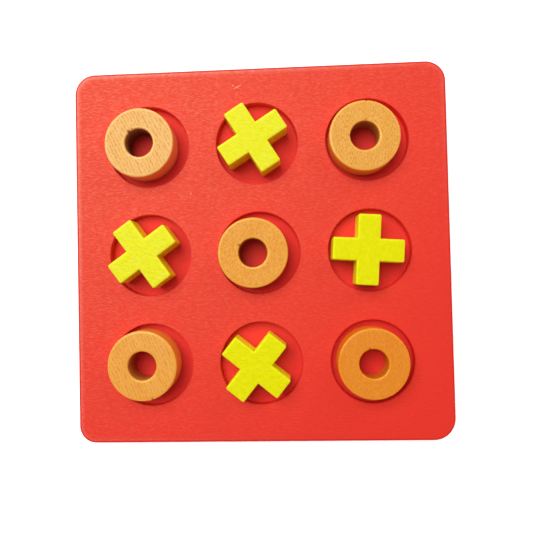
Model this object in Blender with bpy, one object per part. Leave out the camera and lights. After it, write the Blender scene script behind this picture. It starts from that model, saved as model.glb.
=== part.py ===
"""Tabletop noughts and crosses set: a square wooden board with nine round recesses,
five loose wooden rings (noughts) and four loose wooden crosses.

Metres, +Z up. The origin is the middle of the board's underside, +X runs to the right
and +Y to the far side of the board as the player sees it.
"""
import math

import bmesh
import bpy

# Driving dimensions
BOARD_SIDE = 0.180
BOARD_CORNER_RADIUS = 0.0100
BASE_PANEL_THICKNESS = 0.0060
TOP_PANEL_THICKNESS = 0.0040
RECESS_PITCH = 0.0530
RECESS_RADIUS = 0.01975
GRID_SHIFT = (-0.0008, 0.0003)      # the recess grid is cut a little off the board's middle
PIECE_THICKNESS = 0.0120
NOUGHT_RADIUS = 0.0165
NOUGHT_HOLE_RADIUS = 0.00675
CROSS_REACH = 0.0165                # from a cross's middle to the end of an arm
CROSS_ARM_WIDTH = 0.0106
CROSS_CORNER_RADIUS = 0.0009
PANEL_CHAMFER = 0.0005
RECESS_CHAMFER = 0.0003
PIECE_CHAMFER = 0.0003
CLEARANCE = 0.0003                  # left between faces that touch on the real thing

# Mesh fineness
RECESS_STEPS = 64
NOUGHT_STEPS = 56
BOARD_CORNER_STEPS = 8
CROSS_CORNER_STEPS = 3

# Heights
TOP_PANEL_BOTTOM = BASE_PANEL_THICKNESS + CLEARANCE
BOARD_TOP = TOP_PANEL_BOTTOM + TOP_PANEL_THICKNESS
PIECE_BOTTOM = BASE_PANEL_THICKNESS + CLEARANCE

# Each loose piece: the column and row of its recess, and how far it has slipped in it
NOUGHTS = {
    "nought_top_left": ((-1, 1), (-0.0026, 0.0003)),
    "nought_top_right": ((1, 1), (-0.0021, -0.0001)),
    "nought_centre": ((0, 0), (-0.0025, -0.0003)),
    "nought_bottom_left": ((-1, -1), (-0.0028, 0.0007)),
    "nought_bottom_right": ((1, -1), (-0.0007, 0.0001)),
}
# The same for a cross, and the angle in degrees that it has turned
CROSSES = {
    "cross_top": ((0, 1), (-0.0017, 0.0010), 32.0),
    "cross_left": ((-1, 0), (-0.0021, 0.0004), 35.5),
    "cross_right": ((1, 0), (-0.0018, -0.0002), -4.0),
    "cross_bottom": ((0, -1), (-0.0021, -0.0008), -39.0),
}

RED_STAIN = ("red_stained_wood", (0.80, 0.065, 0.035), 0.55)
PALE_WOOD = ("pale_wood", (0.83, 0.42, 0.12), 0.60)
YELLOW_PAINT = ("yellow_painted_wood", (0.81, 0.77, 0.03), 0.50)


def clear_scene():
    for item in list(bpy.data.objects):
        bpy.data.objects.remove(item, do_unlink=True)


def make_material(name, colour, roughness):
    """A Principled material, made once and shared after that."""
    found = bpy.data.materials.get(name)
    if found:
        return found
    material = bpy.data.materials.new(name)
    material.use_nodes = True
    shader = material.node_tree.nodes["Principled BSDF"]
    shader.inputs["Base Color"].default_value = (*colour, 1.0)
    shader.inputs["Roughness"].default_value = roughness
    shader.inputs["Metallic"].default_value = 0.0
    material.diffuse_color = (*colour, 1.0)
    return material


def make_object(name, loops, finish, closed_tube=False):
    """A solid skinned over a stack of matching loops of points, lowest first.

    The two end loops are capped, or with closed_tube joined to each other.
    """
    mesh = bpy.data.meshes.new(name)
    builder = bmesh.new()
    rows = [[builder.verts.new(point) for point in loop] for loop in loops]
    pairs = list(zip(rows, rows[1:]))
    if closed_tube:
        pairs.append((rows[-1], rows[0]))
    count = len(loops[0])
    for lower, upper in pairs:
        for index in range(count):
            after = (index + 1) % count
            builder.faces.new((lower[index], lower[after], upper[after], upper[index]))
    if not closed_tube:
        builder.faces.new(list(reversed(rows[0])))
        builder.faces.new(rows[-1])
    builder.to_mesh(mesh)
    builder.free()
    mesh.shade_smooth()
    mesh.set_sharp_from_angle(angle=math.radians(30))
    item = bpy.data.objects.new(name, mesh)
    item.data.materials.append(make_material(*finish))
    bpy.context.scene.collection.objects.link(item)
    return item


def circle(radius, height, steps):
    turns = [math.tau * index / steps for index in range(steps)]
    return [(radius * math.cos(turn), radius * math.sin(turn), height) for turn in turns]


def arc(centre, radius, start_degrees, steps, height):
    """A quarter circle, counter-clockwise from start_degrees."""
    points = []
    for index in range(steps + 1):
        turn = math.radians(start_degrees + 90 * index / steps)
        x = centre[0] + radius * math.cos(turn)
        y = centre[1] + radius * math.sin(turn)
        points.append((x, y, height))
    return points


def rounded_square(inset, height):
    """The board's outline, drawn in by inset."""
    middle = BOARD_SIDE / 2 - BOARD_CORNER_RADIUS
    radius = BOARD_CORNER_RADIUS - inset
    points = []
    for quarter, (x, y) in enumerate(((1, 1), (-1, 1), (-1, -1), (1, -1))):
        centre = (x * middle, y * middle)
        points += arc(centre, radius, 90 * quarter, BOARD_CORNER_STEPS, height)
    return points


def cross_outline(inset, height):
    """A plus sign with rounded outer corners, drawn in by inset."""
    reach = CROSS_REACH - CROSS_CORNER_RADIUS
    half_width = CROSS_ARM_WIDTH / 2
    side = half_width - CROSS_CORNER_RADIUS
    radius = CROSS_CORNER_RADIUS - inset
    notch = half_width - inset
    points = []
    for quarter in range(4):
        cosine, sine = ((1, 0), (0, 1), (-1, 0), (0, -1))[quarter]
        arm = arc((reach, -side), radius, -90, CROSS_CORNER_STEPS, height)
        arm += arc((reach, side), radius, 0, CROSS_CORNER_STEPS, height)
        arm.append((notch, notch, height))
        points += [(x * cosine - y * sine, x * sine + y * cosine, z) for x, y, z in arm]
    return points


def chamfered_stack(outline, bottom, top, chamfer):
    """The loops of a slab with the outline's shape and both edges chamfered."""
    return [
        outline(chamfer, bottom),
        outline(0, bottom + chamfer),
        outline(0, top - chamfer),
        outline(chamfer, top),
    ]


def recess_centre(cell):
    column, row = cell
    return (GRID_SHIFT[0] + column * RECESS_PITCH, GRID_SHIFT[1] + row * RECESS_PITCH)


def build_board(frame):
    """The base panel, and the top panel glued on it with nine holes cut through."""
    base_loops = chamfered_stack(rounded_square, 0, BASE_PANEL_THICKNESS, PANEL_CHAMFER)
    base_loops[3] = rounded_square(0, BASE_PANEL_THICKNESS)
    del base_loops[2]
    base = make_object("board_base_panel", base_loops, RED_STAIN)
    base.parent = frame

    top_loops = chamfered_stack(rounded_square, TOP_PANEL_BOTTOM, BOARD_TOP, PANEL_CHAMFER)
    top_loops[0] = rounded_square(0, TOP_PANEL_BOTTOM)
    del top_loops[1]
    top = make_object("board_top_panel", top_loops, RED_STAIN)
    top.parent = frame
    for column in (-1, 0, 1):
        for row in (-1, 0, 1):
            cutter = build_recess_cutter(column, row, frame)
            cut = top.modifiers.new(cutter.name, "BOOLEAN")
            cut.operation = "DIFFERENCE"
            cut.solver = "EXACT"
            cut.object = cutter


def build_recess_cutter(column, row, frame):
    """A guide for one round hole, flared at the board's top face."""
    overrun = 0.001
    flare = RECESS_RADIUS + RECESS_CHAMFER
    loops = [
        circle(RECESS_RADIUS, TOP_PANEL_BOTTOM - overrun, RECESS_STEPS),
        circle(RECESS_RADIUS, BOARD_TOP - RECESS_CHAMFER, RECESS_STEPS),
        circle(flare + overrun, BOARD_TOP + overrun, RECESS_STEPS),
    ]
    cutter = make_object(f"recess_guide_{column + 1}_{row + 1}", loops, RED_STAIN)
    cutter.location = (*recess_centre((column, row)), 0)
    cutter.parent = frame
    cutter.hide_render = True
    cutter.display_type = "WIRE"
    return cutter


def place_piece(piece, cell, slip, frame):
    """Stand a piece on the floor of its recess, its origin on its own middle axis."""
    middle = recess_centre(cell)
    piece.location = (middle[0] + slip[0], middle[1] + slip[1], PIECE_BOTTOM)
    piece.parent = frame


def build_noughts(frame):
    """Turned rings with a straight central hole."""
    outer = chamfered_stack(
        lambda inset, height: circle(NOUGHT_RADIUS - inset, height, NOUGHT_STEPS),
        0, PIECE_THICKNESS, PIECE_CHAMFER)
    inner = chamfered_stack(
        lambda inset, height: circle(NOUGHT_HOLE_RADIUS + inset, height, NOUGHT_STEPS),
        0, PIECE_THICKNESS, PIECE_CHAMFER)
    loops = outer + list(reversed(inner))
    for name, (cell, slip) in NOUGHTS.items():
        ring = make_object(name, loops, PALE_WOOD, closed_tube=True)
        place_piece(ring, cell, slip, frame)


def build_crosses(frame):
    """Crosses sawn from sheet, each one piece."""
    loops = chamfered_stack(cross_outline, 0, PIECE_THICKNESS, PIECE_CHAMFER)
    for name, (cell, slip, turn) in CROSSES.items():
        cross = make_object(name, loops, YELLOW_PAINT)
        place_piece(cross, cell, slip, frame)
        cross.rotation_euler.z = math.radians(turn)


def main():
    clear_scene()
    frame = bpy.data.objects.new("board_frame", None)
    bpy.context.scene.collection.objects.link(frame)
    build_board(frame)
    build_noughts(frame)
    build_crosses(frame)


main()
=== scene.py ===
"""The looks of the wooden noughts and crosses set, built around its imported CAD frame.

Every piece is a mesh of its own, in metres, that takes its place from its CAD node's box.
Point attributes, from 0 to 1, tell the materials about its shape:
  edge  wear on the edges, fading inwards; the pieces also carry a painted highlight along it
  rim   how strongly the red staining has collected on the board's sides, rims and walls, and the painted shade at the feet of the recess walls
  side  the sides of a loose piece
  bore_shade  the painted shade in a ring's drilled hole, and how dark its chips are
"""

import math

import bmesh
import bpy
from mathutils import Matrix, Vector, noise


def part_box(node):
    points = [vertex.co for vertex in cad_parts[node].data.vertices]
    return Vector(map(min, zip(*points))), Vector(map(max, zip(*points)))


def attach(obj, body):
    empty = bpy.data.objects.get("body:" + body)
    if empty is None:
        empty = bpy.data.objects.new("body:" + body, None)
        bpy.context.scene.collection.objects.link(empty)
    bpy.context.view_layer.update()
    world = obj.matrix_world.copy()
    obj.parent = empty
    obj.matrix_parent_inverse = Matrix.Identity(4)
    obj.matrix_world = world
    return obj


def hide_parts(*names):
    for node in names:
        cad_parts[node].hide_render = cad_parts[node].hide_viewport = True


MM = 0.001

# The board
RECESS_PITCH = 53 * MM
RECESS_RADIUS = 19.75 * MM
GRID_SHIFT = (-0.8 * MM, 0.3 * MM)
# Top right, top left, bottom left, bottom right: the real board's corners aren't quite alike
BOARD_CORNER_RADII = (9.5 * MM, 10.0 * MM, 8.2 * MM, 10.3 * MM)
BOARD_EDGE_ROUND = 0.8 * MM
BASE_EDGE_ROUND = 0.6 * MM
EDGE_FALL = 0.22 * MM
EDGE_FALL_WIDTH = 3.4 * MM
EDGE_FALL_STEPS = 6
OUTLINE_UNEVEN = 0.05 * MM
SIDE_START = 1.8 * MM
STAIN_BUILD = 0.3 * MM
RIM_ROUND = 0.35 * MM
RIM_UNEVEN = 0.03 * MM
WALL_START = 1.0 * MM
WALL_END = 0.8 * MM
WALL_UNEVEN = 0.02 * MM
SEAM_EASE = 0.2 * MM
MERGE_SCALE = 1e7
RIM_STEPS = 128
CORNER_STEPS = 16
ROUND_STEPS = 5
FINE_ROUND_STEPS = 7
COARSE_ROUND_STEPS = 3

# How strongly the red staining has collected on the sides, recess rims and walls, how dark the
# painted shade at the walls' feet is, and how wide the painted shade on the recess floors along
# them is
SIDE_STAIN = 0.6
WALL_STAIN = 0.1
FOOT_SHADE = 0.7
CORNER_SHADE_WIDTH = 0.7 * MM

# Pale marks of use on the top face: middle in mm, angle in degrees, length and width in mm
SCRATCHES = [
    ((-9.65, 81.3), 25, 5.0, 0.9),
    ((-11.8, 82.0), 0, 1.2, 0.9),
    ((-33.4, 29.95), 90, 1.5, 0.9),
]

# The loose pieces
PIECE_UNEVEN = 0.03 * MM
BOTTOM_ROUND = 0.3 * MM
SIDE_MARGIN = 1.2 * MM
SINK = 0.2 * MM
SINK_WIDTH = 1.3 * MM
SINK_STEPS = (0.7 * MM, 0.95 * MM, 1.3 * MM, 1.9 * MM)
RING_STEPS = 360
RING_HOLE_RADIUS = 6.75 * MM
RING_ROUND = 0.48 * MM
BORE_STOPS = (3.5 * MM, 6.5 * MM)
TORN_DEPTH = 0.22 * MM
CROSS_REACH = 16.5 * MM
CROSS_ARM_WIDTH = 10.6 * MM
CROSS_CORNER_RADIUS = 0.9 * MM
CROSS_NOTCH_RADIUS = 0.25 * MM
CROSS_CORNER_STEPS = 6
CROSS_ROUND = 0.40 * MM

# The frame keeps its parts CAD_GAP apart. Here the base panel rises by half of that, and the
# top panel and the loose pieces settle towards it, to SEAM_GAP above it.
CAD_GAP = 0.3 * MM
SEAM_GAP = 0.02 * MM
BASE_RISE = CAD_GAP / 2
SETTLE = CAD_GAP / 2 - SEAM_GAP

# The edge wear all along the board's border, and the shares of a rounded edge's own wear
# that the other edges show
BORDER_WEAR = 0.5
RIM_WEAR = 0.4
SEAM_WEAR = 0.6
UNDERSIDE_WEAR = 0.4
PIECE_BOTTOM_WEAR = 0.5

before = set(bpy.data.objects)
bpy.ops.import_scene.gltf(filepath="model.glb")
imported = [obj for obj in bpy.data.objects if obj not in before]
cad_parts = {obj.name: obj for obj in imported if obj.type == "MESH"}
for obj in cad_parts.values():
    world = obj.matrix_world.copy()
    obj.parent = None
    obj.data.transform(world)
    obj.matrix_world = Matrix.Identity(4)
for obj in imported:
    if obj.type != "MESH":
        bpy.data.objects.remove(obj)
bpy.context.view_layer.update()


# ---------------------------------------------------------------- mesh tools

def wobble(point, size, amount):
    """A smooth, repeatable unevenness: bumps about size across and amount high."""
    return amount * noise.noise(Vector(point) / size)


def full_turn(steps):
    return [math.tau * index / steps for index in range(steps)]


def arc(centre_x, centre_y, radius, start, sweep, steps):
    """Points along an arc that begins at start degrees and turns through sweep degrees."""
    turns = [math.radians(start + sweep * index / steps) for index in range(steps + 1)]
    return [(centre_x + radius * math.cos(turn), centre_y + radius * math.sin(turn))
            for turn in turns]


def quarter_turned(points, quarter):
    """The points turned counter-clockwise by this many quarter turns."""
    cosine, sine = ((1, 0), (0, 1), (-1, 0), (0, -1))[quarter]
    return [(x * cosine - y * sine, x * sine + y * cosine) for x, y in points]


def quarter_round(radius, steps=ROUND_STEPS):
    """(inset, drop, edge wear) along a rounded edge, from the face down to the side.

    The inset is measured in from the side, and the drop down from the face.
    """
    side_wear = 0.35
    points = []
    for index in range(steps + 1):
        turn = math.radians(90 * index / steps)
        inset = radius * (1 - math.sin(turn))
        drop = radius * (1 - math.cos(turn))
        wear = side_wear + (1 - side_wear) * min(1.0, 2 - 2 * index / steps)
        points.append((inset, drop, wear))
    return points


def loft(name, loops, closed_tube=False):
    """An object skinned over matching loops of (x, y, z, edge) points."""
    builder = bmesh.new()
    edge = builder.verts.layers.float.new("edge")
    rows = []
    for loop in loops:
        row = []
        for x, y, z, wear in loop:
            vertex = builder.verts.new((x, y, z))
            vertex[edge] = wear
            row.append(vertex)
        rows.append(row)
    pairs = list(zip(rows, rows[1:]))
    if closed_tube:
        pairs.append((rows[-1], rows[0]))
    count = len(rows[0])
    for lower, upper in pairs:
        for index in range(count):
            after = (index + 1) % count
            builder.faces.new((lower[index], lower[after], upper[after], upper[index]))
    if not closed_tube:
        builder.faces.new(list(reversed(rows[0])))
        builder.faces.new(rows[-1])
    return finish_mesh(name, builder)


def finish_mesh(name, builder):
    """Makes an object of the finished mesh, shaded smooth except at real edges."""
    sharp_angle = 40
    bmesh.ops.recalc_face_normals(builder, faces=builder.faces)
    mesh = bpy.data.meshes.new(name)
    builder.to_mesh(mesh)
    builder.free()
    mesh.shade_smooth()
    mesh.set_sharp_from_angle(angle=math.radians(sharp_angle))
    item = bpy.data.objects.new(name, mesh)
    bpy.context.scene.collection.objects.link(item)
    return item


def mark(piece, name, strength):
    """Stores strength(co), from 0 to 1, as a point attribute of a piece."""
    values = piece.data.attributes.new(name, "FLOAT", "POINT").data
    for vertex, value in zip(piece.data.vertices, values):
        value.value = float(strength(vertex.co))


def sunk(inset):
    """How far a handled piece's top has worn down at this distance from its edge."""
    return SINK * max(0.0, 1 - inset / SINK_WIDTH) ** 2


def sunk_wear(inset):
    """The edge wear on that worn shoulder."""
    fade = 0.5 * MM
    return min(1.0, max(0.0, (SINK_WIDTH - inset) / fade))


# ---------------------------------------------------------------- board

def board_outline(sides, half, inset):
    """The board's outline drawn in by inset, counter-clockwise from the +X side.

    sides holds, for each side in turn, the coordinates along it of its own points.
    """
    points = []
    for quarter in range(4):
        start = BOARD_CORNER_RADII[quarter - 1] - half
        end = half - BOARD_CORNER_RADII[quarter]
        local = [(half - inset, min(max(along, start), end)) for along in sides[quarter]]
        local += arc(end, end, BOARD_CORNER_RADII[quarter] - inset, 0, 90, CORNER_STEPS)
        points += quarter_turned(local, quarter)
    return points


def outline_stain(inset):
    """How strongly the board's darker outline shows at this distance from its side."""
    width, fade = 1.25 * MM, 0.45 * MM
    return min(1.0, max(0.0, (width - inset) / fade))


class PanelMesh:
    """A sheet with nine round holes, on a grid of square cells inside a rounded outline."""

    def __init__(self, half, bottom, top):
        self.builder = bmesh.new()
        self.edge = self.builder.verts.layers.float.new("edge")
        self.rim = self.builder.verts.layers.float.new("rim")
        self.half, self.bottom, self.top = half, bottom, top
        self.known = {}

    def vertex(self, x, y, z, wear=0.0, stain_and_shade=0.0):
        """The vertex at this place, shared by all the loops that pass through it."""
        key = (round(x * MERGE_SCALE), round(y * MERGE_SCALE), round(z * MERGE_SCALE))
        if key not in self.known:
            vertex = self.builder.verts.new((x, y, z))
            vertex[self.edge] = wear
            vertex[self.rim] = stain_and_shade
            self.known[key] = vertex
        return self.known[key]

    def skin(self, first, second):
        """Faces between two closed loops, except where they share their vertices."""
        count = len(first)
        for index in range(count):
            after = (index + 1) % count
            corners = [first[index], first[after], second[after], second[index]]
            corners = list(dict.fromkeys(corners))
            if len(corners) > 2:
                self.builder.faces.new(corners)

    def hole(self, column, row):
        """One cell: its square on both faces, and the rim and wall of its round hole."""
        middle_x = GRID_SHIFT[0] + column * RECESS_PITCH
        middle_y = GRID_SHIFT[1] + row * RECESS_PITCH
        turns = full_turn(RIM_STEPS)
        bump_walk, bump_size = 20 * MM, 6 * MM

        def ring(radius, height, wear=0.0, uneven=0.0, stain_and_shade=0.0):
            points = []
            for turn in turns:
                x, y = math.cos(turn), math.sin(turn)
                spot = (middle_x + x * bump_walk, middle_y + y * bump_walk, 0)
                away = radius + wobble(spot, bump_size, uneven)
                points.append(self.vertex(middle_x + x * away, middle_y + y * away,
                                          height, wear, stain_and_shade))
            return points

        def square(height):
            reach = RECESS_PITCH / 2
            points = []
            for turn in turns:
                x, y = math.cos(turn), math.sin(turn)
                scale = reach / max(abs(x), abs(y))
                points.append(self.vertex(middle_x + x * scale, middle_y + y * scale, height))
            return points

        flat_end, wear_start, first_wear = 1.6 * MM, 0.8 * MM, 0.05
        loops = [square(self.top), ring(RECESS_RADIUS + flat_end, self.top),
                 ring(RECESS_RADIUS + wear_start, self.top, first_wear, RIM_UNEVEN)]
        for inset, drop, wear in quarter_round(RIM_ROUND):
            loops.append(ring(RECESS_RADIUS + inset, self.top - drop, RIM_WEAR * wear,
                              RIM_UNEVEN, SIDE_STAIN))
        for height in (self.top - WALL_START, self.bottom + WALL_END):
            loops.append(ring(RECESS_RADIUS, height, 0.0, WALL_UNEVEN, WALL_STAIN))
        # The wall's foot is darkened as painted shade, in the corner where it meets the recess
        # floor
        loops.append(ring(RECESS_RADIUS, self.bottom, stain_and_shade=FOOT_SHADE))
        loops.append(square(self.bottom))
        for upper, lower in zip(loops, loops[1:]):
            self.skin(upper, lower)

    def border(self):
        """The flat frame from the cells to the outline, the rounded edge and the side."""
        low_x, low_y = (shift - 1.5 * RECESS_PITCH for shift in GRID_SHIFT)
        high_x, high_y = (shift + 1.5 * RECESS_PITCH for shift in GRID_SHIFT)
        reach = RECESS_PITCH / 2
        eighth = RIM_STEPS // 8
        steps = [cell * RECESS_PITCH + reach * math.tan(math.tau * index / RIM_STEPS)
                 for cell in (-1, 0, 1) for index in range(-eighth, eighth)]
        along_x = [GRID_SHIFT[0] + step for step in steps[1:]]
        along_y = [GRID_SHIFT[1] + step for step in steps[1:]]
        back_x, back_y = along_x[::-1], along_y[::-1]
        sides = [along_y, [-x for x in back_x], [-y for y in back_y], along_x]
        corner = CORNER_STEPS + 1
        inner = [(high_x, y) for y in along_y] + [(high_x, high_y)] * corner
        inner += [(x, high_y) for x in back_x] + [(low_x, high_y)] * corner
        inner += [(low_x, y) for y in back_y] + [(low_x, low_y)] * corner
        inner += [(x, low_y) for x in along_x] + [(high_x, low_y)] * corner
        bump_size = 9 * MM

        def outline(inset, height, wear, stain_and_shade, uneven=0.0):
            loop = []
            for x, y in board_outline(sides, self.half, inset):
                scale = 1 + wobble((x, y, 0), bump_size, uneven) / self.half
                loop.append(self.vertex(x * scale, y * scale, height, wear, stain_and_shade))
            return loop

        # The top face falls away towards the outline, and then turns over the rounded edge
        loops = [[self.vertex(x, y, self.top) for x, y in inner]]
        fall_run = BOARD_EDGE_ROUND - EDGE_FALL_WIDTH
        fall_wear = 1.7
        for step in range(EDGE_FALL_STEPS):
            inset = EDGE_FALL_WIDTH + fall_run * step / EDGE_FALL_STEPS
            share = 1 - inset / EDGE_FALL_WIDTH
            wear = min(1.0, fall_wear * share ** 1.5)
            loops.append(outline(inset, self.top - EDGE_FALL * share ** 2, wear,
                                 outline_stain(inset)))
        for inset, drop, _ in quarter_round(BOARD_EDGE_ROUND, FINE_ROUND_STEPS):
            drop += EDGE_FALL * (1 - inset / EDGE_FALL_WIDTH) ** 2
            loops.append(outline(inset, self.top - drop, BORDER_WEAR, outline_stain(inset),
                                 -OUTLINE_UNEVEN))
        loops.append(outline(0, self.top - SIDE_START, 0.0, SIDE_STAIN))
        for inset, drop, wear in reversed(quarter_round(SEAM_EASE, COARSE_ROUND_STEPS)):
            loops.append(outline(inset, self.bottom + drop, SEAM_WEAR * wear, SIDE_STAIN))
        loops.append([self.vertex(x, y, self.bottom) for x, y in inner])
        for upper, lower in zip(loops, loops[1:]):
            self.skin(lower, upper)


def build_top_panel():
    low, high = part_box("board_top_panel")
    panel = PanelMesh(high[0] + STAIN_BUILD, low[2] - SETTLE, high[2])
    for column in (-1, 0, 1):
        for row in (-1, 0, 1):
            panel.hole(column, row)
    panel.border()
    return finish_mesh("red_top_panel", panel.builder)


def build_base_panel():
    """The sheet under the top panel. Its upper face is the floor of the recesses."""
    low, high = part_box("board_base_panel")
    half = high[0] + STAIN_BUILD
    bottom, top = low[2], high[2] + BASE_RISE
    sides = [[0.0]] * 4
    bottom_inset, top_inset = 3.0 * MM, 1.5 * MM
    hair = 0.01 * MM

    def outline(inset, height, wear=0.0):
        points = board_outline(sides, half, inset)
        return [(x, y, height, wear) for x, y in points]

    loops = [outline(bottom_inset, bottom)]
    loops += [outline(inset, bottom + drop, UNDERSIDE_WEAR * wear)
              for inset, drop, wear in quarter_round(BASE_EDGE_ROUND)]
    loops += [outline(inset, top - drop, SEAM_WEAR * wear)
              for inset, drop, wear in reversed(quarter_round(SEAM_EASE, COARSE_ROUND_STEPS))]
    loops.append(outline(top_inset, top))
    base = loft("red_base_panel", loops)
    side_low, side_high = bottom + hair, top - hair
    mark(base, "rim", lambda co: SIDE_STAIN if side_low < co.z < side_high else 0.0)
    return base


# ---------------------------------------------------------------- rings

def nick_depth(nicks, turn, radius, below_top, from_edge, outer):
    """How far the small chips along one edge of a ring cut in at this point."""
    depth = 0.0
    tail = 1.2
    inland = max(0.0, from_edge - RING_ROUND)
    for on_outer, degrees, width, deep in nicks:
        if on_outer != outer or inland > deep:
            continue
        off = math.remainder(turn - math.radians(degrees), math.tau) * radius
        fade = math.exp(-(off / width) ** 2 - below_top / (tail * deep)) * (1 - inland / deep)
        depth = max(depth, deep * fade)
    return depth


def ring_section(radius, bottom, top):
    """Around a ring's cross-section: distance from the axis, height, edge wear and outer."""
    hole = RING_HOLE_RADIUS
    section = []
    for inset, drop, wear in reversed(quarter_round(RING_ROUND)):
        section.append((radius - inset, top - drop - sunk(inset), wear, True))
    for inset in SINK_STEPS:
        section.append((radius - inset, top - sunk(inset), sunk_wear(inset), True))
    for inset in reversed(SINK_STEPS):
        section.append((hole + inset, top - sunk(inset), sunk_wear(inset), False))
    for inset, drop, wear in quarter_round(RING_ROUND):
        section.append((hole + inset, top - drop - sunk(inset), wear, False))
    for depth in (SIDE_MARGIN, *BORE_STOPS, top - bottom - SIDE_MARGIN):
        section.append((hole, top - depth, 0.0, False))
    for inset, drop, wear in reversed(quarter_round(BOTTOM_ROUND, COARSE_ROUND_STEPS)):
        section.append((hole + inset, bottom + drop, PIECE_BOTTOM_WEAR * wear, False))
    for inset, drop, wear in quarter_round(BOTTOM_ROUND, COARSE_ROUND_STEPS):
        section.append((radius - inset, bottom + drop, PIECE_BOTTOM_WEAR * wear, True))
    section.append((radius, bottom + SIDE_MARGIN, 0.0, True))
    section.append((radius, top - SIDE_MARGIN, 0.0, True))
    return section


def build_ring(name, node, nicks):
    low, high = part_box(node)
    middle = Vector(((low[0] + high[0]) / 2, (low[1] + high[1]) / 2, 0))
    radius = (high[0] - low[0]) / 2
    hole = RING_HOLE_RADIUS
    bottom, top = low[2] - SETTLE, high[2]
    bump_size = 3 * MM
    chip_sag = 0.6

    loops = []
    for away, height, wear, outer in ring_section(radius, bottom, top):
        from_edge = radius - away if outer else away - hole
        loop = []
        for turn in full_turn(RING_STEPS):
            x, y = math.cos(turn), math.sin(turn)
            spot = (x * away + middle[0], y * away + middle[1], height)
            cut = nick_depth(nicks, turn, away, top - height, from_edge, outer)
            at = away + wobble(spot, bump_size, PIECE_UNEVEN) + (-cut if outer else cut)
            drop = chip_sag * cut if height > (top + bottom) / 2 else 0.0
            loop.append((x * at, y * at, height - drop, wear))
        loops.append(loop)
    ring = loft(name, loops, closed_tube=True)
    ring.location = middle

    between = (hole + radius) / 2
    shoulder = top - RING_ROUND - SINK - 0.1 * MM
    bore_top = top - 1.0 * MM
    mouth_shade, shade_run = 0.4, 12.0 * MM

    # Painted shade in the drilled hole: from mouth_shade at its mouth to full further down; the
    # torn chips are darkened too
    def bore_shade_mark(co):
        away = math.hypot(co.x, co.y)
        outer = away > between
        from_edge = radius - away if outer else away - hole
        cut = nick_depth(nicks, math.atan2(co.y, co.x), away, top - co.z, from_edge, outer)
        if outer or cut > TORN_DEPTH or co.z > bore_top:
            return cut > TORN_DEPTH
        return min(1.0, mouth_shade + (top - co.z) / shade_run)

    mark(ring, "bore_shade", bore_shade_mark)
    mark(ring, "side", lambda co: co.z < shoulder and math.hypot(co.x, co.y) > between)
    return ring


# ---------------------------------------------------------------- crosses

def spaced(points, longest=2 * MM, parts=8):
    """The same path with every stretch over the longest allowed cut into equal parts."""
    full = []
    for start, end in zip(points, points[1:]):
        pieces = parts if math.dist(start, end) > longest else 1
        for index in range(pieces):
            part = index / pieces
            full.append((start[0] + (end[0] - start[0]) * part,
                         start[1] + (end[1] - start[1]) * part))
    full.append(points[-1])
    return full


def cross_outline(inset):
    """A plus sign drawn in by inset, outer corners and notches rounded."""
    half_width = CROSS_ARM_WIDTH / 2
    least_radius = 0.05 * MM
    radius = max(CROSS_CORNER_RADIUS - inset, least_radius)
    reach = CROSS_REACH - inset - radius
    side = half_width - inset - radius
    notch = half_width + CROSS_NOTCH_RADIUS
    notch_radius = CROSS_NOTCH_RADIUS + inset
    arm = arc(reach, -side, radius, -90, 90, CROSS_CORNER_STEPS)
    arm += arc(reach, side, radius, 0, 90, CROSS_CORNER_STEPS)
    arm += arc(notch, notch, notch_radius, 270, -90, CROSS_CORNER_STEPS)
    return [point for quarter in range(4) for point in quarter_turned(spaced(arm), quarter)]


def build_cross(name, node, turn):
    low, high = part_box(node)
    middle = Vector(((low[0] + high[0]) / 2, (low[1] + high[1]) / 2, 0))
    bottom, top = low[2] - SETTLE, high[2]
    bump_size = 4 * MM
    bottom_inset = 0.8 * MM

    def outline(inset, height, wear=0.0):
        loop = []
        for x, y in cross_outline(inset):
            away = math.hypot(x, y)
            grow = wobble((x + middle[0], y + middle[1], height), bump_size, PIECE_UNEVEN)
            loop.append((x + x / away * grow, y + y / away * grow, height, wear))
        return loop

    loops = [outline(bottom_inset, bottom)]
    loops += [outline(inset, bottom + drop, PIECE_BOTTOM_WEAR * wear)
              for inset, drop, wear in quarter_round(BOTTOM_ROUND, COARSE_ROUND_STEPS)]
    loops += [outline(0, bottom + SIDE_MARGIN), outline(0, top - SIDE_MARGIN)]
    loops += [outline(inset, top - drop - sunk(inset), wear)
              for inset, drop, wear in reversed(quarter_round(CROSS_ROUND))]
    loops += [outline(inset, top - sunk(inset), sunk_wear(inset)) for inset in SINK_STEPS]
    cross = loft(name, loops)
    mark(cross, "side", lambda co: co.z < top - CROSS_ROUND - 0.5 * SINK)
    cross.location = middle
    cross.rotation_euler.z = math.radians(turn)
    return cross


# ---------------------------------------------------------------- material tools

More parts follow.
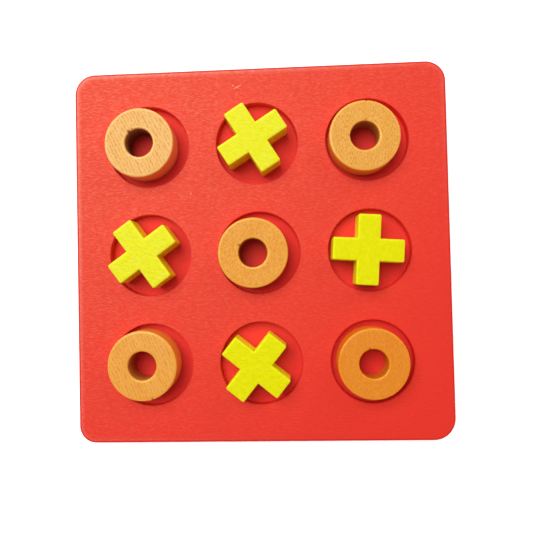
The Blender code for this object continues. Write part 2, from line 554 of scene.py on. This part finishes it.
class Graph:
    """A Principled material and short ways to add nodes to it. Places are in millimetres."""

    def __init__(self, name, roughness, specular=0.5, tint=(1.0, 1.0, 1.0)):
        self.material = bpy.data.materials.new(name)
        self.material.use_nodes = True
        self.tree = self.material.node_tree
        self.shader = self.tree.nodes["Principled BSDF"]
        self.shader.inputs["Roughness"].default_value = roughness
        self.shader.inputs["Specular IOR Level"].default_value = specular
        self.shader.inputs["Specular Tint"].default_value = (*tint, 1.0)
        self.place = self.tree.nodes.new("ShaderNodeTexCoord").outputs["Object"]

    def put(self, source, socket):
        """Links a socket to another, or sets a number, vector or colour on it."""
        if isinstance(source, bpy.types.NodeSocket):
            self.tree.links.new(source, socket)
        elif isinstance(source, tuple) and len(source) == 3 and socket.type == "RGBA":
            socket.default_value = (*source, 1.0)
        else:
            socket.default_value = source

    def turned(self, degrees, offset=(0, 0, 0)):
        """Object coordinates in millimetres, turned about Z and moved."""
        node = self.tree.nodes.new("ShaderNodeMapping")
        node.inputs["Scale"].default_value = (1 / MM, 1 / MM, 1 / MM)
        node.inputs["Rotation"].default_value = (0, 0, math.radians(degrees))
        node.inputs["Location"].default_value = offset
        self.put(self.place, node.inputs["Vector"])
        return node.outputs["Vector"]

    def split(self, place):
        """A place's coordinates, by the names X, Y and Z."""
        node = self.tree.nodes.new("ShaderNodeSeparateXYZ")
        self.put(place, node.inputs["Vector"])
        return node.outputs

    def combine(self, operation, first, second):
        """The vector that comes from adding or multiplying two others."""
        node = self.tree.nodes.new("ShaderNodeVectorMath")
        node.operation = operation
        self.put(first, node.inputs[0])
        self.put(second, node.inputs[1])
        return node.outputs["Vector"]

    def length(self, vector):
        node = self.tree.nodes.new("ShaderNodeVectorMath")
        node.operation = "LENGTH"
        self.put(vector, node.inputs[0])
        return node.outputs["Value"]

    def noise(self, place, scale, detail=2.0, rough=0.5):
        """Noise from 0 to 1, with this many bumps to the millimetre along X, Y and Z."""
        node = self.tree.nodes.new("ShaderNodeTexNoise")
        node.inputs["Scale"].default_value = 1.0
        node.inputs["Detail"].default_value = detail
        node.inputs["Roughness"].default_value = rough
        self.put(self.combine("MULTIPLY", place, scale), node.inputs["Vector"])
        return node.outputs["Fac"]

    def level(self, value, low, high, out_low=0.0, out_high=1.0):
        """Maps low to high onto out_low to out_high, and goes no further at either end."""
        node = self.tree.nodes.new("ShaderNodeMapRange")
        self.put(value, node.inputs["Value"])
        node.inputs["From Min"].default_value = low
        node.inputs["From Max"].default_value = high
        node.inputs["To Min"].default_value = out_low
        node.inputs["To Max"].default_value = out_high
        return node.outputs["Result"]

    def spread(self, texture, out_low=0.0, out_high=1.0):
        """Spreads a noise, most of which lies near its middle, over out_low to out_high."""
        return self.level(texture, 0.3, 0.7, out_low, out_high)

    def math(self, operation, first, second=0.0):
        node = self.tree.nodes.new("ShaderNodeMath")
        node.operation = operation
        self.put(first, node.inputs[0])
        self.put(second, node.inputs[1])
        return node.outputs["Value"]

    def add(self, first, second):
        return self.math("ADD", first, second)

    def subtract(self, first, second):
        return self.math("SUBTRACT", first, second)

    def multiply(self, first, second):
        return self.math("MULTIPLY", first, second)

    def mix(self, factor, first, second):
        """A colour that goes from first to second as the factor goes from 0 to 1."""
        node = self.tree.nodes.new("ShaderNodeMix")
        node.data_type = "RGBA"
        first_colour, second_colour, result = node.inputs[6], node.inputs[7], node.outputs[2]
        self.put(factor, node.inputs["Factor"])
        self.put(first, first_colour)
        self.put(second, second_colour)
        return result

    def attribute(self, name):
        node = self.tree.nodes.new("ShaderNodeAttribute")
        node.attribute_name = name
        return node.outputs["Fac"]

    def finish(self, colour, roughness, height, bump_distance):
        self.put(colour, self.shader.inputs["Base Color"])
        self.put(roughness, self.shader.inputs["Roughness"])
        bump = self.tree.nodes.new("ShaderNodeBump")
        bump.inputs["Distance"].default_value = bump_distance
        bump.inputs["Strength"].default_value = 1.0
        self.put(height, bump.inputs["Height"])
        self.put(bump.outputs["Normal"], self.shader.inputs["Normal"])
        return self.material


def wavy(graph, place, amount):
    """Moves a place sideways by a slow noise, so that straight grain meanders."""
    drift = graph.noise(place, (0.035, 0.06, 0.05), detail=1.0)
    sideways = graph.tree.nodes.new("ShaderNodeCombineXYZ")
    graph.put(graph.spread(drift, -amount, amount), sideways.inputs["Y"])
    return graph.combine("ADD", place, sideways.outputs["Vector"])


def scaled(tone, shares):
    return tuple(channel * share for channel, share in zip(tone, shares))


# ---------------------------------------------------------------- red stain

STAIN_SHEEN = (1.0, 1.0, 0.52)
WORN_RED = (0.86, 0.28, 0.22)
# Darker red for the staining on the sides, rims and walls, and for the painted shade at the
# walls' feet
STAIN_AND_SHADE_RED = (0.62, 0.005, 0.004)
# The painted shade on the recess floors, along the feet of their walls
CORNER_SHADE_RED = (0.50, 0.006, 0.006)
SCRATCH_PINK = (0.90, 0.34, 0.22)
STAIN_AND_SHADE_STRENGTH = 0.8
CORNER_SHADE_STRENGTH = 0.65
SCRATCH_STRENGTH = 0.65
STAIN_GRAIN_ANGLE = 0.8
STAIN_MEANDER = 1.1
STAIN_BUMP = 0.16 * MM
TOP_STAIN = dict(deep=(0.71, 0.017, 0.0135), light=(0.77, 0.041, 0.027),
                 fleck=(0.85, 0.14, 0.10), fleck_strength=0.75, roughness=0.56, specular=0.38)
FLOOR_STAIN = dict(deep=(0.74, 0.036, 0.029), light=(0.78, 0.047, 0.036),
                   fleck=(0.83, 0.08, 0.06), fleck_strength=0.3, roughness=0.45, specular=0.05)


def recess_corner_shade(graph, uneven):
    """How strongly a recess floor is darkened along the foot of its wall: painted shade in the
    corner.
    """
    position = graph.split(graph.turned(0))
    pitch, radius, shade_band = RECESS_PITCH / MM, RECESS_RADIUS / MM, CORNER_SHADE_WIDTH / MM
    squares = []
    for axis, shift in zip("XY", GRID_SHIFT):
        along = graph.subtract(position[axis], shift / MM)
        cell = graph.math("ROUND", graph.math("DIVIDE", along, pitch))
        from_middle = graph.subtract(along, graph.multiply(cell, pitch))
        squares.append(graph.math("POWER", from_middle, 2.0))
    away = graph.math("SQRT", graph.add(*squares))
    at_foot = graph.level(away, radius - shade_band, radius, 0.0, CORNER_SHADE_STRENGTH)
    floor_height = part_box("board_base_panel")[1][2] / MM
    fade = 0.1
    on_floor = graph.level(position["Z"], floor_height - fade, floor_height)
    return graph.multiply(graph.multiply(at_foot, on_floor), uneven)


def scratch(graph, middle, degrees, length, width):
    """How strongly one short pale mark shows on the board's top face."""
    turn = math.radians(-degrees)
    x, y = middle
    turned_x = x * math.cos(turn) - y * math.sin(turn)
    turned_y = x * math.sin(turn) + y * math.cos(turn)
    place = graph.turned(-degrees, (-turned_x, -turned_y, 0))
    away = graph.length(graph.combine("MULTIPLY", place, (2 / length, 2 / width, 0)))
    return graph.level(away, 0.3, 1.0, SCRATCH_STRENGTH, 0.0)


def red_stain(name, deep, light, fleck, fleck_strength, roughness, specular, corner_shade=False):
    """Stained veneer with fine grain along X, pale flecks and lighter worn edges, painted
    stronger towards the top left as a painted sheen.
    """
    graph = Graph(name, roughness, specular, STAIN_SHEEN)
    place = wavy(graph, graph.turned(STAIN_GRAIN_ANGLE), STAIN_MEANDER)
    position = graph.split(place)
    fibres = graph.noise(place, (0.20, 1.9, 0.8), detail=3.0, rough=0.65)
    fine = graph.noise(place, (1.5, 3.0, 1.5), detail=2.0, rough=0.6)
    flecks = graph.noise(place, (0.50, 2.3, 1.0), detail=3.0, rough=0.7)
    patches = graph.noise(place, (0.03, 0.06, 0.05))
    chips = graph.noise(place, (0.4, 0.7, 0.7), detail=3.0, rough=0.6)
    rim_stain_and_shade = graph.attribute("rim")

    # The grain, its pale flecks and the edge wear are painted stronger towards the board's top
    # left and fainter at its bottom right: a painted sheen over the real grain
    across = graph.subtract(position["Y"], position["X"])
    painted_sheen_gradient = graph.level(across, -110, 150, 0.12, 1.0)
    grain = graph.add(graph.spread(fibres, 0.0, 0.6), graph.spread(fine, 0.0, 0.4))
    pale = graph.multiply(graph.level(flecks, 0.48, 0.72, 0.0, fleck_strength), painted_sheen_gradient)
    chipped = graph.spread(chips, 0.35, 1.0)
    worn = graph.multiply(graph.attribute("edge"), chipped)
    worn = graph.multiply(worn, graph.math("POWER", painted_sheen_gradient, 1.7))

    colour = graph.mix(graph.multiply(grain, painted_sheen_gradient), deep, light)
    colour = graph.mix(pale, colour, fleck)
    colour = graph.mix(graph.spread(patches, 0.0, 0.10), colour, deep)
    colour = graph.mix(worn, colour, WORN_RED)
    # The rim mark darkens where the staining has collected, and paints shade at the feet of the
    # recess walls
    rim_stain_and_shade_share = graph.level(rim_stain_and_shade, 0.0, 1.0, 0.0, STAIN_AND_SHADE_STRENGTH)
    colour = graph.mix(rim_stain_and_shade_share, colour, STAIN_AND_SHADE_RED)
    # Painted shade on the recess floor along the foot of each wall
    if corner_shade:
        colour = graph.mix(recess_corner_shade(graph, chipped), colour, CORNER_SHADE_RED)
    else:
        for mark_on_top in SCRATCHES:
            colour = graph.mix(scratch(graph, *mark_on_top), colour, SCRATCH_PINK)

    gloss = graph.level(flecks, 0.35, 0.65, roughness + 0.08, roughness - 0.10)
    gloss = graph.add(gloss, graph.multiply(rim_stain_and_shade, 0.3))
    height = graph.add(graph.multiply(fibres, 0.6), graph.multiply(fine, 0.4))
    return graph.finish(colour, gloss, height, STAIN_BUMP)


# ---------------------------------------------------------------- pale wood

WOOD_SHEEN = (1.0, 0.95, 0.6)
WOOD_MEANDER = 0.8
WOOD_BUMP = 0.08 * MM
# The wood's other colours, as shares of a ring's colour, which carries painted falloff of the
# light
DEEP_SHARES = (0.96, 0.89, 0.65)
LIGHT_SHARES = (1.03, 1.13, 1.9)
FLECK_SHARES = (0.80, 0.50, 0.15)
EDGE_WEAR_AND_HIGHLIGHT_SHARES = (1.05, 1.07, 1.2)
BORE_SHADE_SHARES = (1.0, 0.64, 0.9)


def wood_strokes(graph, place, spacing, length):
    """Broken dark strokes along the grain, this far apart across it."""
    drift = graph.noise(place, (0.3, 0.6, 0.6), detail=1.0)
    phase = graph.add(graph.multiply(graph.split(place)["Y"], math.tau / spacing),
                      graph.multiply(drift, 8.0))
    broken = graph.level(graph.noise(place, (1 / length, 1.3, 1.3), detail=1.0), 0.38, 0.60)
    return graph.multiply(graph.level(graph.math("SINE", phase), -0.3, 0.9), broken)


def wood_stipple(graph, place, length):
    """Short dark flecks scattered along the grain."""
    return graph.level(graph.noise(place, (1 / length, 3.0, 3.0), detail=1.0), 0.46, 0.64)


def pale_wood(name, offset, tone, contrast, stroke, length, bore_shade, painted_red_bounce, angle):
    """Light hardwood: short darker flecks along the grain, soft bands, and worn eased edges
    painted pale as a highlight.
    """
    graph = Graph(name, roughness=0.5, specular=0.5, tint=WOOD_SHEEN)
    place = wavy(graph, graph.turned(-angle, offset), WOOD_MEANDER)
    fibres = graph.noise(place, (0.20, 1.5, 1.5), detail=3.0, rough=0.65)
    bands = graph.noise(place, (0.02, 0.25, 0.25))
    side, edge = graph.attribute("side"), graph.attribute("edge")
    if stroke:
        rays = wood_strokes(graph, place, stroke, length)
    else:
        rays = wood_stipple(graph, place, length)
    rays = graph.multiply(rays, graph.level(side, 0.0, 1.0, 1.0, 0.15))
    grain = graph.add(graph.spread(fibres, 0.0, 0.6), graph.spread(bands, 0.0, 0.4))
    # The turned side is painted lighter, and redder per ring: painted light, standing in for the
    # light on it and the red light the board throws onto it
    turned_side = scaled(tone, (1.22, 1.0 - painted_red_bounce, 0.95))
    # The drilled hole's painted shade, lighter or darker per ring
    dark_hole = scaled(scaled(tone, BORE_SHADE_SHARES), (bore_shade, bore_shade, bore_shade))

    colour = graph.mix(grain, scaled(tone, DEEP_SHARES), scaled(tone, LIGHT_SHARES))
    colour = graph.mix(graph.multiply(rays, contrast), colour, scaled(tone, FLECK_SHARES))
    # The worn eased edges are painted paler: a painted highlight along them
    colour = graph.mix(graph.level(edge, 0.1, 1.0, 0.0, 0.85), colour, scaled(tone, EDGE_WEAR_AND_HIGHLIGHT_SHARES))
    colour = graph.mix(graph.multiply(side, 0.8), colour, turned_side)
    colour = graph.mix(graph.attribute("bore_shade"), colour, dark_hole)

    gloss = graph.subtract(graph.level(rays, 0.0, 1.0, 0.48, 0.60), graph.multiply(side, 0.24))
    gloss = graph.subtract(gloss, graph.multiply(edge, 0.36))
    height = graph.subtract(graph.multiply(fibres, 0.6), graph.multiply(rays, 0.5))
    return graph.finish(colour, gloss, height, WOOD_BUMP)


# ---------------------------------------------------------------- yellow paint

PAINT_SHEEN = (1.0, 1.0, 0.12)
PAINT_BUMP = 0.18 * MM
PAINT_DEEP = (0.665, 0.63, 0.0)
PAINT_LIGHT = (0.745, 0.71, 0.0)
PAINTED_SHEEN_YELLOW = (0.82, 0.80, 0.22)
PAINT_EDGE_WEAR_AND_HIGHLIGHT = (0.9, 0.88, 0.02)
PLY_LINE = (0.82, 0.52, 0.012)
# In mm: the thickness of the plies, dark and pale by turns, and how far they are shifted down
PLY_THICKNESS = 1.2
PLY_SHIFT = 0.85


def yellow_paint(name, turn, offset, painted_sheen, painted_red_bounce, ply_strength):
    """Thin paint on plywood: the grain and the ply lines on the sawn sides show through."""
    graph = Graph(name, roughness=0.36, specular=0.40, tint=PAINT_SHEEN)
    place = graph.turned(90 - turn, offset)
    fibres = graph.noise(place, (0.15, 1.4, 1.4))
    mottle = graph.noise(place, (0.5, 0.6, 0.5), detail=3.0, rough=0.6)
    sawn = graph.noise(place, (2.5, 2.5, 0.25), detail=2.0, rough=0.6)
    sheen_patches = graph.noise(place, (0.45, 1.5, 1.5), detail=2.0, rough=0.6)
    side, edge = graph.attribute("side"), graph.attribute("edge")
    ply = graph.math("PINGPONG", graph.add(graph.split(place)["Z"], PLY_SHIFT), PLY_THICKNESS)
    line = graph.multiply(graph.level(ply, 0.0, 0.7, 1.0, 0.0), side)

    colour = graph.mix(graph.spread(mottle), PAINT_DEEP, PAINT_LIGHT)
    colour = graph.mix(graph.level(fibres, 0.35, 0.7, 0.0, 0.25), colour, PAINT_DEEP)
    # Paler patches on the top: a painted sheen, strong on the crosses towards the top left
    colour = graph.mix(graph.level(sheen_patches, 0.35, 0.7, 0.0, painted_sheen), colour, PAINTED_SHEEN_YELLOW)
    # The sides get a yellower paint, made redder per cross: painted light, standing in for the
    # light on them and the red light the board throws onto them
    colour = graph.mix(side, colour, (0.90, 1.0 - painted_red_bounce, 0.0))
    colour = graph.mix(graph.multiply(line, ply_strength), colour, PLY_LINE)
    # Paler paint along the worn top edges: a painted highlight
    colour = graph.mix(graph.level(edge, 0.1, 1.0, 0.0, 0.2), colour, PAINT_EDGE_WEAR_AND_HIGHLIGHT)

    gloss = graph.subtract(graph.spread(mottle, 0.31, 0.43), graph.multiply(side, 0.14))
    gloss = graph.subtract(gloss, graph.multiply(edge, 0.15))
    height = graph.add(graph.multiply(sawn, 0.5), graph.multiply(fibres, 0.4))
    height = graph.subtract(height, graph.multiply(line, 0.4))
    height = graph.add(height, graph.multiply(mottle, 1.2))
    return graph.finish(colour, gloss, height, PAINT_BUMP)


# ---------------------------------------------------------------- assembly

# Each ring's wood: its colour, painted darker and oranger towards the board's bottom right as
# falloff of the light, how strong its flecks are, the spacing of its dark strokes in mm (0 where
# it is only stippled), the flecks' length in mm, how light the painted shade in its drilled hole
# is, how much red light from the board is painted onto its turned side, and its grain angle in
# degrees
RING_WOODS = {
    "nought_top_left": dict(tone=(0.755, 0.385, 0.084), contrast=0.75, stroke=1.5,
                            length=1.0, bore_shade=0.22, painted_red_bounce=0.40, angle=118),
    "nought_top_right": dict(tone=(0.755, 0.35, 0.041), contrast=0.8, stroke=0,
                             length=1.25, bore_shade=0.55, painted_red_bounce=0.30, angle=94),
    "nought_centre": dict(tone=(0.755, 0.312, 0.026), contrast=0.7, stroke=0,
                          length=1.6, bore_shade=0.40, painted_red_bounce=0.20, angle=52),
    "nought_bottom_left": dict(tone=(0.75, 0.312, 0.034), contrast=0.65, stroke=1.5,
                               length=1.0, bore_shade=0.65, painted_red_bounce=0.05, angle=112),
    "nought_bottom_right": dict(tone=(0.735, 0.230, 0.008), contrast=0.65, stroke=0,
                                length=1.25, bore_shade=0.95, painted_red_bounce=-0.05, angle=92),
}

# The chips along each ring's top edges: on the outer edge, angle in degrees, width, depth
RING_NICKS = {
    "nought_top_left": [(False, 131, 0.7 * MM, 0.7 * MM), (False, 114, 0.3 * MM, 0.5 * MM)],
    "nought_top_right": [(True, 86, 0.4 * MM, 0.6 * MM), (False, 84, 0.7 * MM, 0.5 * MM),
                         (False, 178, 0.3 * MM, 0.5 * MM)],
    "nought_centre": [(False, 150, 0.45 * MM, 0.6 * MM)],
    "nought_bottom_left": [(True, -73, 0.4 * MM, 0.6 * MM)],
    "nought_bottom_right": [(False, 104, 0.4 * MM, 0.6 * MM)],
}

# The paint of a cross: how strongly a paler sheen is painted in patches on its top, how much red
# light from the board is painted onto its sides, and how strongly the ply lines show on them
SHEENED_PAINT = dict(painted_sheen=0.22, painted_red_bounce=0.22, ply_strength=0.45)
CLEAR_PAINT = dict(painted_sheen=0.02, painted_red_bounce=0.0, ply_strength=0.1)

# Each cross's turn in degrees and its paint
CROSSES = {
    "cross_top": (32.0, SHEENED_PAINT),
    "cross_left": (35.5, SHEENED_PAINT),
    "cross_right": (-4.0, CLEAR_PAINT),
    "cross_bottom": (-39.0, CLEAR_PAINT),
}


def dress(piece, node, body, material):
    """Gives a piece its material and its body, and hides the CAD part it stands in for."""
    piece.data.materials.append(material)
    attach(piece, body)
    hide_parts(node)


def build_board():
    top = red_stain("red_stain_top", **TOP_STAIN)
    floor = red_stain("red_stain_floor", **FLOOR_STAIN, corner_shade=True)
    dress(build_top_panel(), "board_top_panel", "board", top)
    dress(build_base_panel(), "board_base_panel", "board", floor)


def build_rings():
    for index, (node, look) in enumerate(RING_WOODS.items()):
        place = node.removeprefix("nought_")
        wood = pale_wood("pale_wood_" + place, (37 * index, 11 * index, 0), **look)
        ring = build_ring("turned_ring_" + place, node, RING_NICKS[node])
        dress(ring, node, node + "_piece", wood)


def build_crosses():
    for index, (node, (turn, look)) in enumerate(CROSSES.items()):
        place = node.removeprefix("cross_")
        paint = yellow_paint("yellow_paint_" + place, turn, (29 * index, 17 * index, 0), **look)
        cross = build_cross("sawn_cross_" + place, node, turn)
        dress(cross, node, node + "_piece", paint)


# ---------------------------------------------------------------- studio

FLOOR_SIDE = 40.0
FLOOR_DROP = 0.2 * MM
FLOOR_COLOUR = (0.95, 0.95, 0.95)
FLOOR_GLOW = 0.5
FLOOR_ROUGHNESS = 0.9
FLOOR_SPECULAR = 0.1
WORLD_COLOUR = (1.0, 1.0, 1.05)
WORLD_STRENGTH = 0.23

# Round area lights aimed at the board: name, azimuth counter-clockwise from +X and elevation
# in degrees, distance and size in metres, watts and tint. The red ones stand in for the
# light that the board throws onto the sides of the pieces.
SOFTBOXES = [
    ("key", 130, 58, 3.0, 2.85, 107.0, (0.905, 1.0, 1.0)),
    ("fill_top", 0, 88, 3.0, 2.4, 5.0, (1.0, 0.3, 0.3)),
    ("fill_back", 45, 24, 3.6, 2.4, 28.0, (1.0, 1.0, 0.95)),
    ("fill_right", -15, 12, 3.6, 1.4, 10.0, (1.0, 0.18, 0.18)),
    ("fill_front", -70, 12, 3.6, 1.4, 8.0, (1.0, 0.18, 0.18)),
    ("fill_left", -130, 12, 3.6, 1.4, 8.5, (1.0, 0.18, 0.18)),
]

CAMERA_LENS = 33.77
CAMERA_SENSOR = 36.0
CAMERA_PLACE = (13.89 * MM, -11.89 * MM, 250.7 * MM)
CAMERA_TURN = (1.236, 2.712, -1.305)


def build_floor():
    bpy.ops.mesh.primitive_plane_add(size=FLOOR_SIDE, location=(0, 0, -FLOOR_DROP))
    floor = bpy.context.object
    floor.name = "studio_floor"
    graph = Graph("studio_paper", FLOOR_ROUGHNESS, FLOOR_SPECULAR)
    graph.put(FLOOR_COLOUR, graph.shader.inputs["Base Color"])
    graph.put((1.0, 1.0, 1.0), graph.shader.inputs["Emission Color"])
    graph.put(FLOOR_GLOW, graph.shader.inputs["Emission Strength"])
    floor.data.materials.append(graph.material)


def add_softbox(name, azimuth, elevation, distance, size, watts, tint):
    turn, rise = math.radians(azimuth), math.radians(elevation)
    away = Vector((math.cos(turn) * math.cos(rise), math.sin(turn) * math.cos(rise),
                   math.sin(rise)))
    light = bpy.data.lights.new(name, "AREA")
    light.shape = "DISK"
    light.size = size
    light.energy = watts
    light.color = tint
    item = bpy.data.objects.new(name, light)
    item.location = away * distance
    item.rotation_euler = away.to_track_quat("Z", "Y").to_euler()
    bpy.context.scene.collection.objects.link(item)


def build_studio():
    build_floor()
    for softbox in SOFTBOXES:
        add_softbox(*softbox)
    world = bpy.data.worlds.new("studio_air")
    world.use_nodes = True
    background = world.node_tree.nodes["Background"]
    background.inputs["Color"].default_value = (*WORLD_COLOUR, 1)
    background.inputs["Strength"].default_value = WORLD_STRENGTH
    bpy.context.scene.world = world
    bpy.context.scene.view_settings.view_transform = "Standard"


def build_camera():
    camera = bpy.data.cameras.new("overhead_camera")
    camera.lens = CAMERA_LENS
    camera.sensor_width = CAMERA_SENSOR
    item = bpy.data.objects.new("overhead_camera", camera)
    item.location = CAMERA_PLACE
    item.rotation_euler = [math.radians(turn) for turn in CAMERA_TURN]
    bpy.context.scene.collection.objects.link(item)
    bpy.context.scene.camera = item


build_board()
build_rings()
build_crosses()
build_studio()
build_camera()

bpy.context.view_layer.update()
